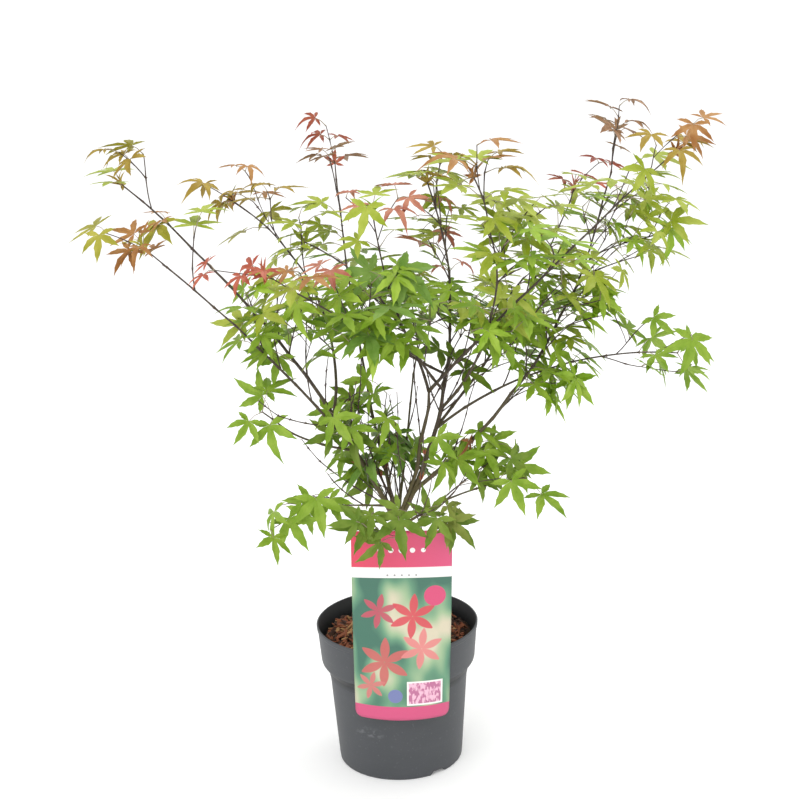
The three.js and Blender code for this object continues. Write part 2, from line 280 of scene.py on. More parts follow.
RUB_ACROSS, RUB_UP, RUB_WIDTH, RUB_HEIGHT = -0.036, 0.060, 0.018, 0.009

pot_outline = [
    (0.0, 0.0012),
    (BASE_RADIUS - 0.012, 0.0012),
    (BASE_RADIUS - 0.009, 0.0),
    (BASE_RADIUS - 0.0012, 0.0),
    (BASE_RADIUS, 0.0014),
    (BASE_RADIUS + 0.0005, NOTCH_HEIGHT + 0.0008),
    (BASE_RADIUS + 0.0007, NOTCH_HEIGHT + 0.0028),
    (WALL_TOP_RADIUS - 0.0006 - STEP_DEPTH, STEP_HEIGHT - 0.0006),
    (WALL_TOP_RADIUS - 0.0006, STEP_HEIGHT),
    (WALL_TOP_RADIUS, WALL_TOP - 0.0022),
    (WALL_TOP_RADIUS + 0.0006, WALL_TOP - 0.0004),
    (WALL_TOP_RADIUS + 0.0022, WALL_TOP + 0.0018),
    (COLLAR_FOOT_RADIUS - 0.0020, COLLAR_FOOT - 0.0020),
    (COLLAR_FOOT_RADIUS - 0.0005, COLLAR_FOOT + 0.0004),
    (COLLAR_FOOT_RADIUS + 0.0002, COLLAR_FOOT + 0.003),
    (RIM_RADIUS - 0.0012, POT_HEIGHT - 0.0062),
    (RIM_RADIUS - 0.0003, POT_HEIGHT - 0.0050),
    (RIM_RADIUS, POT_HEIGHT - 0.0008),
    (RIM_RADIUS - 0.0006, POT_HEIGHT),
    (RIM_RADIUS - WALL + 0.0006, POT_HEIGHT),
    (RIM_RADIUS - WALL, POT_HEIGHT - 0.0008),
    (COLLAR_FOOT_RADIUS - WALL, COLLAR_FOOT + 0.002),
    (WALL_TOP_RADIUS - WALL, WALL_TOP + 0.001),
    (BASE_RADIUS - WALL, WALL + 0.0012),
    (0.0, WALL + 0.0012),
]


def turned(outline, steps):
    """A closed shape turned on the Z axis from its (radius, height) outline."""
    shape = bmesh.new()
    corners = [shape.verts.new((radius, 0, height)) for radius, height in outline]
    rail = [shape.edges.new(pair) for pair in zip(corners, corners[1:])]
    bmesh.ops.spin(
        shape, geom=[*corners, *rail], axis=UP, cent=(0, 0, 0), angle=math.tau, steps=steps, use_merge=True
    )
    bmesh.ops.remove_doubles(shape, verts=shape.verts, dist=1e-6)
    bmesh.ops.recalc_face_normals(shape, faces=shape.faces)
    smooth_faces(shape)
    return shape


pot = turned(pot_outline, POT_STEPS)
for bearing in NOTCH_BEARINGS:
    middle = Vector((1, 0, 0))
    middle.rotate(Matrix.Rotation(math.radians(bearing), 3, "Z"))
    for corner in pot.verts:
        outside = Vector((corner.co.x, corner.co.y))
        near = abs(middle.xy.angle_signed(outside, 0)) * outside.length < NOTCH_WIDTH / 2
        in_foot = corner.co.z < NOTCH_HEIGHT * 0.6 and outside.length > BASE_RADIUS - 0.0125
        if near and in_foot:
            corner.co.z += NOTCH_HEIGHT * 0.76
for edge in pot.edges:
    edge.smooth = edge.calc_face_angle(0) < math.radians(32)

plastic = Finish("pot plastic", Roughness=0.52, **{"Specular IOR Level": 0.4})
grime = plastic.mottle(26, 6)
flow = plastic.mottle(14, 2, (1, 1, 6))
shade = plastic.mix(grime, colour(0x3D4043), colour(0x47494D))
shade = plastic.mix(flow * 0.3, shade, colour(0x55575A))
along_x, along_y, along_z = (
    plastic.node("SeparateXYZ", {}, {"Vector": plastic.places}, axis) for axis in "XYZ"
)
# A rubbed patch at the front, to the left of the middle and low on the wall.
rub_place = (abs(along_x - RUB_ACROSS) / RUB_WIDTH) ** 2 + (abs(along_z - RUB_UP) / RUB_HEIGHT) ** 2
rubbed = rub_place.below(1.0, 0.9) * plastic.mottle(120, 3, (1, 1, 1.8)).over(0.62, 0.14)
rubbed = rubbed * along_y.below(0, 0.01)
dust = plastic.mottle(320, 2).over(0.72, 0.08) * 0.1
shade = plastic.mix(rubbed * 0.34 + dust, shade, colour(0x8B8D90))
# Painted shade: the inside of the wall is painted near black, for the shade that falls inside the pot.
off_axis = (along_x**2 + along_y**2) ** 0.5
inside = (off_axis - (along_z - COLLAR_FOOT) * 0.085).below(COLLAR_FOOT_RADIUS - 0.0009, 0.0004)
shade = plastic.mix(inside * along_z.over(WALL_TOP, 0.01), shade, colour(0x232527))
plastic.paint(shade)
plastic.roughen(0.46 + grime * 0.14 + rubbed * 0.1)
plastic.emboss(plastic.mottle(900, 2), 0.00008)
piece("pot_shell", pot, plastic, "pot", "pot")

# --- Compost and bark chips ---------------------------------------------------
# Dark compost heaped a little towards the stem, under a mulch of broken pine bark. The chips lie
# flat for the most part, and overlap. They come in three tones: red-brown, dark and pale.
soil_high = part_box("soil")[1]
SOIL_EDGE_HEIGHT, SOIL_TOP = 0.150, soil_high.z
MOUND_RADIUS = RIM_RADIUS - WALL - 0.0035
CHIPS = {  # how many, and the darker and the lighter colour of each tone
    "red_brown": (430, 0x6E3C24, 0x96583A),
    "dark": (270, 0x35221A, 0x4E3022),
    "pale": (130, 0x94683E, 0xBC9468),
}
CHIP_LENGTH, CHIP_WIDTH, CHIP_THICKNESS = 0.0110, 0.0042, 0.0018
chance = random.Random(11)


def mound_height(x, y):
    """The compost's surface: a low mound, higher on the right than on the left."""
    share = min(1.0, math.hypot(x, y) / MOUND_RADIUS)
    rise = (SOIL_TOP - SOIL_EDGE_HEIGHT) * (1 - share**3.4)
    uneven = 0.0028 * noise.noise((x * 45, y * 45, 0.7))
    return SOIL_EDGE_HEIGHT + rise * 0.98 + uneven * share + 0.02 * x * share


compost = bmesh.new()
bmesh.ops.create_circle(compost, cap_ends=True, cap_tris=True, segments=72, radius=MOUND_RADIUS)
for _ in range(3):
    rim_free = [e for e in compost.edges if e.calc_length() > 0.006]
    bmesh.ops.subdivide_edges(compost, edges=rim_free, cuts=1)
bmesh.ops.triangulate(compost, faces=compost.faces)
for corner in compost.verts:
    corner.co.z = mound_height(corner.co.x, corner.co.y) - 0.002 + 0.0012 * noise.noise(corner.co * 300)
for shrink, height in ((0.87, WALL_TOP), (0.90, WALL + 0.004)):
    skirt = bmesh.ops.extrude_edge_only(compost, edges=[e for e in compost.edges if e.is_boundary])
    for corner in (v for v in skirt["geom"] if isinstance(v, bmesh.types.BMVert)):
        corner.co = (corner.co.x * shrink, corner.co.y * shrink, height)
bmesh.ops.holes_fill(compost, edges=[e for e in compost.edges if e.is_boundary])
bmesh.ops.recalc_face_normals(compost, faces=compost.faces)
peat = mottled("compost", 0.95, 420, 4, 0x2A1810, 0x4A2C1E)
peat.emboss(peat.mottle(500, 4), 0.0012)
piece("compost", compost, peat, "soil", "soil")


def broken_chip():
    """One bark chip about the origin: a flat, torn block with split ends."""
    shape = bmesh.new()
    bmesh.ops.create_cube(shape, size=1)
    lengthwise = [e for e in shape.edges if abs((e.verts[0].co - e.verts[1].co).x) > 0.5]
    bmesh.ops.subdivide_edges(shape, edges=lengthwise, cuts=1)
    for corner in shape.verts:
        taper = 1 - 0.45 * abs(corner.co.x) * chance.random() * 2
        corner.co.y = corner.co.y * taper + 0.16 * (chance.random() - 0.5)
        corner.co.x += 0.24 * (chance.random() - 0.5)
        corner.co.z = corner.co.z * taper + 0.30 * (chance.random() - 0.5)
    bmesh.ops.scale(shape, vec=(CHIP_LENGTH, CHIP_WIDTH, CHIP_THICKNESS), verts=shape.verts)
    bmesh.ops.bevel(
        shape, geom=shape.edges, offset=0.0003, segments=1, profile=0.5, affect="EDGES", material=-1
    )
    return as_mesh("chip", shape)


def join(shape, template, matrix):
    """Adds a copy of a template mesh to a bmesh, put in its place by the matrix."""
    copy = template.copy()
    copy.transform(matrix)
    shape.from_mesh(copy)
    bpy.data.meshes.remove(copy)


chip_shapes = [broken_chip() for _ in range(6)]
for tone, (count, dark_code, light_code) in CHIPS.items():
    layer = bmesh.new()
    for _ in range(count):
        bearing = chance.uniform(0, math.tau)
        away = (MOUND_RADIUS - 0.009) * math.sqrt(chance.uniform(0.006, 1))
        x, y = away * math.cos(bearing), away * math.sin(bearing)
        size = chance.uniform(0.55, 1.35)
        tumble = Matrix.Rotation(chance.gauss(0, 0.6), 4, "X") @ Matrix.Rotation(chance.gauss(0, 0.4), 4, "Y")
        turn = Matrix.Rotation(chance.uniform(0, math.tau), 4, "Z") @ tumble
        place = Matrix.Translation((x, y, mound_height(x, y) + chance.uniform(-0.0006, 0.0036)))
        join(layer, chance.choice(chip_shapes), place @ turn @ Matrix.Scale(size, 4))
    bark_chip = Finish(f"{tone} bark chips", Roughness=0.9)
    grain = bark_chip.mottle(700, 4, (1, 1, 0.6))
    bark_chip.paint(bark_chip.mix(grain, colour(dark_code), colour(light_code)))
    bark_chip.emboss(grain, 0.0004)
    piece(f"bark_chips_{tone}", layer, bark_chip, "soil")

# --- Plant label --------------------------------------------------------------
# A stiff printed card. It stands in front of the stems, curls round the pot at its rounded foot,
# and has a tongue that passes just above the lip and down inside it. The print is a plain one: a
# pink head and foot, a white band, and petalled rounds, discs and a panel on a soft ground.
LABEL_WIDTH, LABEL_BOTTOM, LABEL_TOP = 0.112, 0.089, 0.319
LABEL_FRONT, LABEL_BEND, LABEL_THICKNESS = 0.097, 0.104, 0.0008
LABEL_SHIFT, LABEL_LEAN = 0.0045, 1.4
LABEL_CORNER = 0.008
TONGUE_WIDTH = 0.024
LABEL_HEIGHT = LABEL_TOP - LABEL_BOTTOM
lean = (
    Matrix.Translation((LABEL_SHIFT, 0, POT_HEIGHT))
    @ Matrix.Rotation(math.radians(LABEL_LEAN), 4, "Y")
    @ Matrix.Translation((0, 0, -POT_HEIGHT))
)

card = bmesh.new()
bmesh.ops.create_grid(card, x_segments=28, y_segments=58, size=0.5)
print_map = card.loops.layers.uv.new("UVMap")
for face in card.faces:
    face.smooth = True
    for loop in face.loops:
        loop[print_map].uv = (loop.vert.co.x + 0.5, loop.vert.co.y + 0.5)
for corner in card.verts:
    x, rise = corner.co.x * LABEL_WIDTH, corner.co.y + 0.5
    # The two foot corners are drawn back to an arc.
    hub = Vector((math.copysign(LABEL_WIDTH / 2 - LABEL_CORNER, x), LABEL_CORNER))
    spot = Vector((x, rise * LABEL_HEIGHT))
    if abs(spot.x) > abs(hub.x) and spot.y < hub.y:
        spot = hub + (spot - hub) * min(1, LABEL_CORNER / (spot - hub).length)
        x, rise = spot.x, spot.y / LABEL_HEIGHT
    radius = LABEL_BEND / (1.001 - rise)
    angle = x / radius
    corner.co = (
        radius * math.sin(angle),
        -LABEL_FRONT + radius * (1 - math.cos(angle)),
        LABEL_BOTTOM + rise * LABEL_HEIGHT,
    )
bmesh.ops.transform(card, matrix=lean, verts=card.verts)
bmesh.ops.recalc_face_normals(card, faces=card.faces)
front_faces = list(card.faces)
if sum(face.normal.y for face in front_faces) > 0:
    bmesh.ops.reverse_faces(card, faces=front_faces)
bmesh.ops.solidify(card, geom=front_faces, thickness=LABEL_THICKNESS)

tongue_path = [
    (-LABEL_FRONT + LABEL_THICKNESS, POT_HEIGHT + 0.0010),
    (-RIM_RADIUS + 0.0030, POT_HEIGHT + 0.0010),
    (-RIM_RADIUS + 0.0042, POT_HEIGHT - 0.0002),
    (-RIM_RADIUS + 0.0064, 0.153),
]
tongue = bmesh.new()
fold_line = [tongue.verts.new((-TONGUE_WIDTH / 2, y, z)) for y, z in tongue_path]
fold_edges = [tongue.edges.new(pair) for pair in zip(fold_line, fold_line[1:])]
strip = bmesh.ops.extrude_edge_only(tongue, edges=fold_edges)
moved = [v for v in strip["geom"] if isinstance(v, bmesh.types.BMVert)]
bmesh.ops.translate(tongue, vec=(TONGUE_WIDTH, 0, 0), verts=moved)
bmesh.ops.solidify(tongue, geom=tongue.faces, thickness=LABEL_THICKNESS * 0.8)
bmesh.ops.transform(tongue, matrix=lean, verts=tongue.verts)
bmesh.ops.recalc_face_normals(tongue, faces=tongue.faces)

print_ink = Finish("label print", Roughness=0.32, **{"Coat Weight": 0.25, "Coat Roughness": 0.2})
spread = print_ink.node("UVMap", {"uv_map": "UVMap"}, {})
u, v = (print_ink.node("SeparateXYZ", {}, {"Vector": spread}, axis) for axis in "XY")
wide = (u - 0.5) * LABEL_WIDTH
tall = v * LABEL_HEIGHT
HEAD, BAND, FOOT = 0.187, 0.1745, 0.017
PANEL_ACROSS, PANEL_UP = 0.026, 0.033
CRISP = 0.0004  # the softness of a printed edge


def print_cloud(scale, detail):
    """Cloudy noise over the label's flat print."""
    inputs = {"Vector": spread, "Scale": scale, "Detail": detail}
    return print_ink.node("TexNoise", {"noise_dimensions": "2D"}, inputs)


ground = print_ink.node(
    "ValToRGB",
    {
        "stops": [
            (0.34, colour(0x376B58)),
            (0.46, colour(0x5F9272)),
            (0.58, colour(0x98B48C)),
            (0.72, colour(0xCFC6AC)),
        ]
    },
    {"Fac": print_cloud(3.2, 1.0)},
)


def leaflet(across_at, height_at, bearing, length, width):
    """A pointed oval from a foot point along a bearing, as a mask with a crisp edge."""
    turn = math.radians(bearing)
    along = (wide - across_at) * math.cos(turn) + (tall - height_at) * math.sin(turn)
    aside = (tall - height_at) * math.cos(turn) - (wide - across_at) * math.sin(turn)
    share = along / length
    edge = share * (1 - share) * (4 * width)
    return (abs(aside) - edge).below(0.0004, 0.0008) * share.over(0.02, 0.02) * share.below(0.98, 0.02)


def disc(across_at, height_at, radius):
    reach = ((wide - across_at) ** 2 + (tall - height_at) ** 2) ** 0.5
    return reach.below(radius, CRISP)


def panel(half_width, half_height):
    across = (abs(wide - PANEL_ACROSS) - half_width).below(0.0, CRISP)
    return across * (abs(tall - PANEL_UP) - half_height).below(0.0, CRISP)


ink = ground
ROUNDS = [  # across, height, length of the petals, and their colour
    (-0.026, 0.134, 0.022, 0xB8485A),
    (-0.020, 0.072, 0.031, 0xBE5C58),
    (0.022, 0.088, 0.026, 0xD87E7C),
    (0.012, 0.128, 0.028, 0xCC3E4C),
    (-0.036, 0.042, 0.018, 0xC8706C),
]
for hub_across, hub_height, length, code in ROUNDS:
    for spoke in range(6):
        mask = leaflet(hub_across, hub_height, spoke * 60 + length * 900, length, length * 0.17)
        ink = print_ink.mix(mask * 0.94, ink, colour(code))
panel_ink = print_ink.mix(print_cloud(30, 2.0).over(0.55, 0.12), colour(0xE9B7CB), colour(0xB76A90))
ink = print_ink.mix(panel(0.021, 0.015), ink, colour(0xF4EFEA))
ink = print_ink.mix(panel(0.019, 0.013), ink, panel_ink)
ink = print_ink.mix(disc(0.037, 0.152, 0.0125), ink, colour(0xD04672))
ink = print_ink.mix(disc(-0.008, 0.030, 0.0085), ink, colour(0x6F78A8))
ink = print_ink.mix(tall.below(FOOT, 0.0005), ink, colour(0xCC4A78))
ink = print_ink.mix(tall.over(BAND, 0.0005), ink, colour(0xF6F4F2))
head_ink = print_ink.mix(u, colour(0xDC3A58), colour(0xD84F7C))
ink = print_ink.mix(tall.over(HEAD, 0.0005), ink, head_ink)
for step in range(5):
    ink = print_ink.mix(disc(-0.016 + 0.008 * step, 0.1775, 0.0013), ink, colour(0x9A9A9A))
    dot = disc(-0.024 + 0.012 * step, 0.207, 0.0036 - 0.0004 * abs(step - 2))
    ink = print_ink.mix(dot, ink, colour(0xF6F4F2))
print_ink.paint(ink)
print_ink.emboss(print_ink.mottle(900, 2), 0.00003)

plain_card = mottled("label card back", 0.45, 60, 3, 0xEDEBE6, 0xF7F6F3)
label = piece("label_card", card, print_ink, "label", "label")
label.data.materials.append(plain_card.material)
for polygon in label.data.polygons:
    polygon.material_index = 0 if polygon.normal.y < -0.2 else 1
piece("label_tongue", tongue, plain_card, "label")

# --- Trunk, stems and boughs --------------------------------------------------
# Smooth young bark: greenish grey-brown at the foot, dark purple-brown higher up. A limb is
# straight between its nodes, and bends and swells a little at each, where a leaf pair once sat.
LIMBS = [part["node"] for part in frame["record"]["subparts"] if part["material_slot"] == "bark"]
NODE_SPACING, RING_SPACING = 0.034, 0.009
UNEVENNESS = 0.0009  # how far a node typically stands off the smooth line of its stem
SWELLING, SWELLING_LENGTH = 0.00042, 0.0022
LIMB_SIDES, SHOOT_SIDES, STALK_SIDES = 12, 8, 4
FOOT_THICKENING, TIP_THINNING = 1.06, 0.86
FOOT_DEPTH = 0.008  # how far the trunk goes on down into the compost
growth = random.Random(42)


def cross_sections(node):
    """The middles and radii of a limb's solid, on planes square to its chord from end to end."""
    mesh = frame["nodes"][node].data
    corners = np.array([corner.co for corner in mesh.vertices])
    edges = np.array([edge.vertices[:] for edge in mesh.edges])
    spread = corners - corners.mean(0)
    axis = np.linalg.svd(spread, full_matrices=False)[2][0]
    along = spread @ axis
    stations = np.linspace(along.min(), along.max(), 16)[1:-1]
    middles, radii = [], []
    for station in stations:
        before, after = along[edges[:, 0]] - station, along[edges[:, 1]] - station
        crossing = before * after < 0
        share = (before / (before - after + 1e-12))[crossing, None]
        points = corners[edges[crossing, 0]] * (1 - share) + corners[edges[crossing, 1]] * share
        middles.append(points.mean(0))
        radii.append(np.linalg.norm(points - points.mean(0), axis=1).mean())
    curve, taper = np.polyfit(stations, middles, 4), np.polyfit(stations, radii, 2)
    ends = np.linspace(along.min(), along.max(), 40)
    return [Vector(point) for point in np.vander(ends, 5) @ curve], list(np.polyval(taper, ends))


def walk(points, radii, spacing, unevenness):
    """A stem's path as (point, radius) pairs, with its nodes: their points, headings and radii."""
    steps = np.array([0.0] + [(b - a).length for a, b in zip(points, points[1:])]).cumsum()
    total = steps[-1]
    table = np.array(points)
    stops = [0.0]
    while stops[-1] < total - spacing * 0.6:
        stops.append(stops[-1] + spacing * growth.uniform(0.8, 1.25))
    stops = [stop for stop in stops[1:] if stop < total - spacing * 0.3]
    kinks = [
        Vector((growth.gauss(0, 1), growth.gauss(0, 1), growth.gauss(0, 0.4))) * unevenness for _ in stops
    ]
    kink_at = np.array([0.0, *stops, total])
    kink_by = np.array([Vector(), *kinks, Vector()])
    near_nodes = [stop + shift for stop in stops for shift in (-SWELLING_LENGTH, 0, SWELLING_LENGTH)]
    rings = sorted({0.0, total, *near_nodes, *np.arange(RING_SPACING, total, RING_SPACING)})
    rings = [ring for ring in rings if 0 <= ring <= total]

    def at(distance):
        bend = [np.interp(distance, kink_at, kink_by[:, i]) for i in range(3)]
        return Vector([np.interp(distance, steps, table[:, i]) for i in range(3)]) + Vector(bend)

    def thick(distance):
        swell = sum(math.exp(-(((distance - stop) / SWELLING_LENGTH) ** 2)) for stop in stops)
        return np.interp(distance, steps, radii) + SWELLING * swell

    path = [(at(ring), thick(ring)) for ring in rings]
    nodes = [(at(stop), (at(stop + 0.004) - at(stop - 0.004)).normalized(), thick(stop)) for stop in stops]
    return path, nodes


def tip_of(path):
    """The tip of a path as a node: its point, heading and radius."""
    return path[-1][0], (path[-1][0] - path[-2][0]).normalized(), path[-1][1]


def beside(heading, turn):
    """A direction square to a heading, turned about it by an angle."""
    return Matrix.Rotation(turn, 3, heading) @ heading.orthogonal().normalized()


def tubes(paths, sides):
    """Round tubes with closed ends, joined in one bmesh, each along (point, radius) pairs."""
    curve = bpy.data.curves.new("stems", "CURVE")
    curve.dimensions = "3D"
    curve.bevel_depth = 1
    curve.bevel_resolution = sides // 4 - 1
    curve.use_fill_caps = True
    for path in paths:
        spline = curve.splines.new("POLY")
        spline.points.add(len(path) - 1)
        for knot, (point, radius) in zip(spline.points, path):
            knot.co = (*point, 1)
            knot.radius = radius
    holder = bpy.data.objects.new("stems", curve)
    mesh = bpy.data.meshes.new_from_object(holder)
    shape = bmesh.new()
    shape.from_mesh(mesh)
    bmesh.ops.remove_doubles(shape, verts=shape.verts, dist=1e-6)
    smooth_faces(shape)
    bpy.data.objects.remove(holder)
    bpy.data.curves.remove(curve)
    bpy.data.meshes.remove(mesh)
    return shape


def bark(name, low_code, high_code, low, high):
    """Young bark whose colour changes with height, with fine streaks and pale pores."""
    finish = Finish(name, Roughness=0.62)
    height = finish.node("SeparateXYZ", {}, {"Vector": finish.places}, "Z")
    climb = 1 - (height + 0.08 * finish.mottle(18, 2)).below(high + 0.04, high - low)
    streaks = finish.mottle(420, 4, (1, 1, 0.22))
    pores = finish.spots(520, (1, 1, 0.6)).below(0.16, 0.06)
    tone = finish.mix(climb, colour(low_code), colour(high_code))
    tone = finish.mix(streaks.over(0.58, 0.2) * 0.4, tone, colour(0x62563C))
    tone = finish.mix(pores * 0.3, tone, colour(0x807350))
    finish.paint(tone)
    finish.emboss(streaks + pores * 0.4, 0.0005)
    return finish


stem_bark = bark("stem bark", 0x615932, 0x362929, 0.28, 0.50)
skeleton = []  # a place on a limb or shoot where another can start: point, heading, radius
limb_nodes = {}
for limb in LIMBS:
    middles, radii = cross_sections(limb)
    if not skeleton:
        # The trunk is taken from its foot up, and is rounded off at its top.
        if middles[0].z > middles[-1].z:
            middles, radii = middles[::-1], radii[::-1]
        middles.insert(0, middles[0] - Vector((0, 0, FOOT_DEPTH)))
        radii.insert(0, radii[0] * 1.35)
        rounded = (middles[-1] - middles[-2]).normalized()
        middles += [middles[-1] + rounded * 0.003, middles[-1] + rounded * 0.0052]
        radii += [radii[-1] * 0.8, radii[-1] * 0.35]
    else:
        # A limb is taken from the end that is nearest to the others, and starts inside its host.
        near = [min((point - end).length for point, *_ in skeleton) for end in (middles[0], middles[-1])]
        if near[1] < near[0]:
            middles, radii = middles[::-1], radii[::-1]
        host = min(skeleton, key=lambda place: (place[0] - middles[0]).length)
        middles.insert(0, host[0])
        radii.insert(0, radii[0] * 1.15)
        radii[1] *= 1.12
    thinning = np.linspace(FOOT_THICKENING, 1.0 if limb == LIMBS[0] else TIP_THINNING, len(radii))
    path, nodes = walk(middles, list(radii * thinning), NODE_SPACING, UNEVENNESS)
    if limb != LIMBS[0]:
        nodes.append(tip_of(path))
    limb_nodes[limb] = nodes
    for (point, radius), (ahead, _) in zip(path[1:], path[2:]):
        skeleton.append((point, (ahead - point).normalized(), radius))
    shape = tubes([path], LIMB_SIDES)
    for corner in shape.verts:
        ripple = 0.00022 * noise.noise(corner.co * 110) + 0.0001 * noise.noise(corner.co * 420)
        corner.co += corner.normal * ripple
    piece(f"{limb}_bark", shape, stem_bark, "bark", limb)

# --- Leaves -------------------------------------------------------------------
# A leaf has five long pointed lobes, each toothed, creased along its midrib and arched downwards.
# Old leaves are flatter; young ones narrower and folded.
LOBES = [(0, 1.0), (53, 0.85), (-53, 0.85), (107, 0.57), (-107, 0.57)]
LOBE_REACH = (0, 0.18, 0.33, 0.46, 0.59, 0.72, 0.86, 1)
LOBE_BREADTH = (0, 0.135, 0.130, 0.138, 0.120, 0.084, 0.040, 0)


def leaf_shape(breadth, crease, arch, slump):
    """A leaf about the origin, where its stalk ends: length 1 along +X, with its face up."""
    shape = bmesh.new()
    spread = math.tan(math.radians(LOBES[1][0] / 2))
    for bearing, length in LOBES:
        droop = slump * growth.uniform(-0.2, 2.0)
        sway = growth.uniform(-0.22, 0.22)
        rows = len(LOBE_REACH) - 1
        grid = bmesh.ops.create_grid(shape, x_segments=rows, y_segments=2, size=0.5)["verts"]
        for edge in {side for corner in grid for side in corner.link_edges}:
            edge.smooth = any(abs(corner.co.y) > 0.1 for corner in edge.verts)
        for corner in grid:
            row = round((corner.co.x + 0.5) * rows)
            side = round(corner.co.y * 2)
            reach = max(LOBE_REACH[1], LOBE_REACH[row] * length) if row else 0
            width = breadth * LOBE_BREADTH[row] * length**0.75
            if 1 < row < rows:
                width *= 1.09 if row % 2 else 0.94
                reach += 0.022 * abs(side) * (1 if row % 2 else -0.6)
            width = min(width, reach * spread)
            beyond = max(0, reach - 0.3)
            aside = side * width + sway * beyond**2
            height = crease * width * abs(side) - arch * reach**2 - droop * beyond**2
            turn = math.radians(bearing)
            corner.co = (
                reach * math.cos(turn) - aside * math.sin(turn),
                reach * math.sin(turn) + aside * math.cos(turn),
                height,
            )
    bmesh.ops.remove_doubles(shape, verts=shape.verts, dist=0.004)
    smooth_faces(shape)
    bmesh.ops.recalc_face_normals(shape, faces=shape.faces)
    if sum(face.normal.z for face in shape.faces) < 0:
        bmesh.ops.reverse_faces(shape, faces=shape.faces)
    return as_mesh("leaf", shape)


# How far each shape is creased, arched and slumped.
OLD_SHAPES = ((0.2, 0.03, 0.1), (0.3, 0.1, 0), (0.3, 0.06, 0.25), (0.35, 0.1, 0.4), (0.25, 0.02, 0.6))
YOUNG_SHAPES = ((0.4, 0.1, 0.3), (0.5, 0.15, 0.6), (0.6, 0.05, 0.1))
OLD_LEAVES = [leaf_shape(1.0, *bent) for bent in OLD_SHAPES]
YOUNG_LEAVES = [leaf_shape(0.85, *bent) for bent in YOUNG_SHAPES]

# Each tint is dealt out by spray: a darker and a lighter tone that mottle one into the other.
TINTS = {
    "deep": (0x5A761C, 0x768C32),
    "blue": (0x648A30, 0x82A24C),
    "mid": (0x70921E, 0x8CA83A),
    "fresh": (0x80A422, 0x9CB842),
    "lime": (0x8C9E20, 0xA8B44A),
    "straw": (0x908E24, 0xAEA846),
    "olive": (0x626E20, 0x7C883A),
    "gold": (0x927824, 0xAE9846),
    "orange": (0x94622E, 0xB28652),
    "red": (0xA04834, 0xBE7058),
    "rose": (0xA45E4C, 0xBE846A),
    "bronze": (0x86603E, 0xA68466),
    "dry": (0x845230, 0xA06C42),
}
# For each mass: its tints from its top down, and how full it is.
MASSES = {
    "far_left": ("gold straw lime", 0.5),
    "upper_left": ("lime straw lime orange", 0.8),
    "left_outer": ("straw gold orange", 0.7),
    "left_back": ("orange gold gold straw", 0.9),
    "left_front": ("red lime gold gold", 0.45),
    "front_left": ("orange rose lime lime", 1.0),
    "back_top": ("red bronze bronze", 0.9),
    "inner_left": ("lime fresh lime", 0.9),
    "front_top": ("fresh lime rose lime", 0.9),
    "centre_top": ("gold straw lime lime", 1.1),
    "front_right": ("orange gold lime lime", 1.0),
    "centre_back": ("lime fresh lime rose", 1.2),
    "right_front": ("lime lime fresh", 1.15),
    "right_back": ("red red lime", 1.0),
    "right_crest": ("bronze", 0.4),
    "upper_right": ("gold straw lime", 0.8),
    "far_top_right": ("orange gold straw", 0.7),
    "right_middle": ("lime fresh lime", 1.2),
    "far_right": ("mid", 0.45),
    "middle_left": ("lime fresh mid", 1.1),
    "middle_front": ("fresh blue fresh mid", 1.15),
    "middle_back": ("lime straw fresh mid", 1.1),
    "middle_right": ("lime fresh mid", 1.15),
    "outer_right": ("lime fresh", 1.35),
    "lower_left": ("fresh mid", 1.0),
    "hanging_right": ("lime fresh fresh", 1.45),
    "low_centre": ("fresh mid deep", 1.3),
    "low_inner_left": ("mid blue deep", 1.1),
    "low_left": ("mid", 0.36),
    "lowest_left": ("mid", 0.75),
    "front_low_left": ("deep deep olive", 0.7),
    "front_low_right": ("olive deep", 0.8),
    "low_inner_right": ("mid mid deep", 0.85),
    "low_right": ("deep mid fresh", 0.85),
    "back_low": ("mid deep", 0.9),
    "back_left": ("lime fresh", 0.9),
    "back_right": ("lime fresh", 0.9),
}
YOUNG_TINTS = ("gold", "orange", "red", "rose", "bronze")
VOLUME_PER_LEAF = 14.5e-6
OLD_SIZE, YOUNG_SIZE = (0.032, 0.048), (0.026, 0.040)
STALK_LENGTH, STALK_RADIUS = (0.016, 0.034), 0.00048
MIDDLE_SHARE, ASIDE_SHARE = 0.35, 0.85  # of a leaf's length: ahead to its middle, and out to its sides
STRAY_HIGH, STRAY_LOW, STRAY_FROM = 0.018, 0.007, 0.42  # how far outside its mass a leaf may hang
PAST_BOX = 0.006  # how far a leaf may reach past the box of the solids
NODE_STRAY, SHOOT_NODE_STRAY = 0.004, 0.012  # how far outside a mass its nodes may be
NODE_TURN = 1.57  # from one node's pair of leaves to the next: a quarter turn
SHOOTS_TRIED, PLACES_TRIED = 80, 40
SHOOT_LENGTHS, SHOOT_SPACING, SHOOT_REACH = (0.025, 0.035, 0.05, 0.065), 0.027, 0.055
crown_low = min(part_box(f"{name}_leaves")[0].z for name in MASSES)
crown_high = cad_bounds[1].z

foliage = {tint: bmesh.new() for tint in TINTS}
dealt = {name: [] for name in MASSES}
leaf_middles, stalk_paths, shoot_paths, shoot_starts, bare_nodes = [], [], [], [], []


def depth_in(tree, point):
    """How far a point lies inside a mass, below zero outside it, as the nearest face alone tells it.

    Well away from the rim of a thin mass, that can take a point outside for one inside.
    """
    place, normal, _, distance = tree.find_nearest(point)
    return distance if (point - place).dot(normal) < 0 else -distance


def blade_at(base, ahead, normal, size, shape, tint):
    """Adds one leaf blade that grows ahead from its base and faces along the normal."""
    axes = Matrix((ahead, normal.cross(ahead), normal)).transposed().to_4x4()
    join(foliage[tint], shape, Matrix.Translation(base) @ axes @ Matrix.Scale(size, 4))


